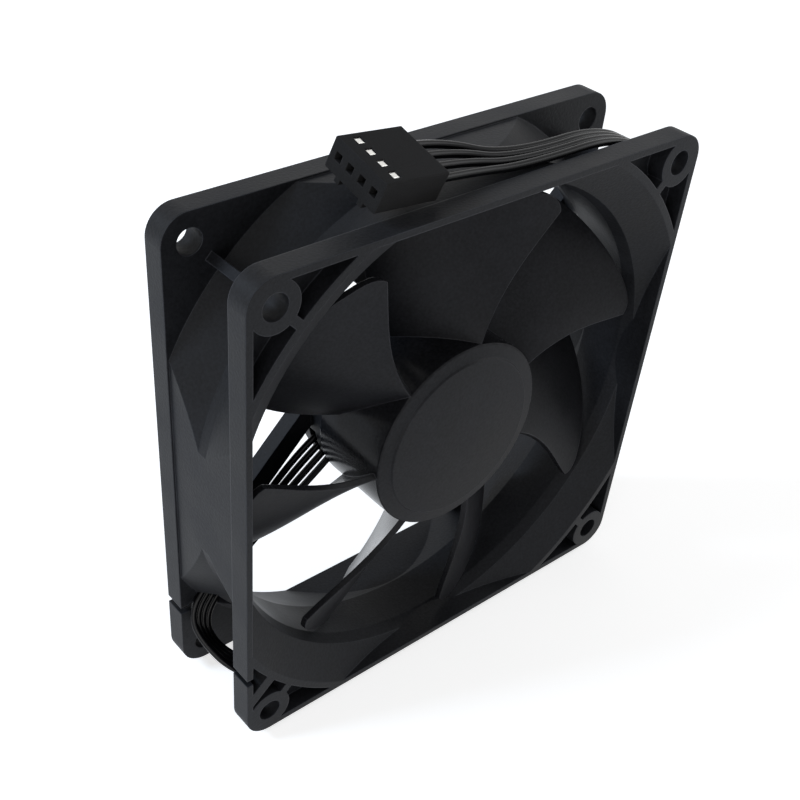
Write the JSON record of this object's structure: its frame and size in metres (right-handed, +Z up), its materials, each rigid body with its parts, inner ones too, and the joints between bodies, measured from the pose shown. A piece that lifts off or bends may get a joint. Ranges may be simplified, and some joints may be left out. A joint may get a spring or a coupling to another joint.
{
  "type": "computer case fan",
  "caption": "Square axial cooling fan with an open intake, swept blades on a domed hub, rear struts and a flat lead wrapped round the frame to a plug.",
  "frame": {"origin": "centre of the square frame, half way between its front and rear faces, on the rotor's axis", "axes": "+Y along the rotor's axis from the open intake side to the strut side, +X to the right seen from the intake, +Z up towards the edge the plug lies on"},
  "size_m": [0.0933, 0.025, 0.1033],
  "materials": {
    "frame_plastic": "fine matte moulded",
    "rotor_plastic": "fine matte moulded",
    "steel": "plain steel",
    "magnet": "bonded ferrite",
    "brass": "turned",
    "bronze": "sintered bronze",
    "white_nylon": "moulded nylon",
    "lamination": "stacked sheet",
    "bobbin": "moulded",
    "enamelled_copper": "wound enamelled wire",
    "board": "solder mask",
    "chip": "moulded",
    "ceramic": "fired",
    "solder": "soldered",
    "wire_sleeve": "smooth extruded",
    "plug_plastic": "moulded",
    "tin": "tin plated"
  },
  "bodies": {
    "stator": {"frame": "frame_plastic", "bearing_tube": "brass", "sleeve_bearing": "bronze", "front_thrust_washer": "white_nylon", "rear_thrust_washer": "white_nylon", "tube_plug": "white_nylon", "stator_core": "lamination", "insulator_front": "bobbin", "insulator_rear": "bobbin", "stator_windings": "enamelled_copper", "circuit_board": "board", "hall_sensor": "chip", "driver_chip": "chip", "board_capacitors": "ceramic", "solder_joints": "solder", "connector_housing": "plug_plastic", "connector_terminals": "tin", "wire_1": "wire_sleeve", "wire_2": "wire_sleeve", "wire_3": "wire_sleeve", "wire_4": "wire_sleeve"},
    "rotor": {"impeller": "rotor_plastic", "rotor_yoke": "steel", "ring_magnet": "magnet", "shaft_insert": "brass", "rotor_shaft": "steel", "shaft_clip": "white_nylon"}
  },
  "joints": [
    {"name": "rotor_spin", "type": "hinge", "parent": "stator", "child": "rotor", "pos_m": [0, 0, 0], "axis": [0, 1, 0], "continuous": true}
  ]
}
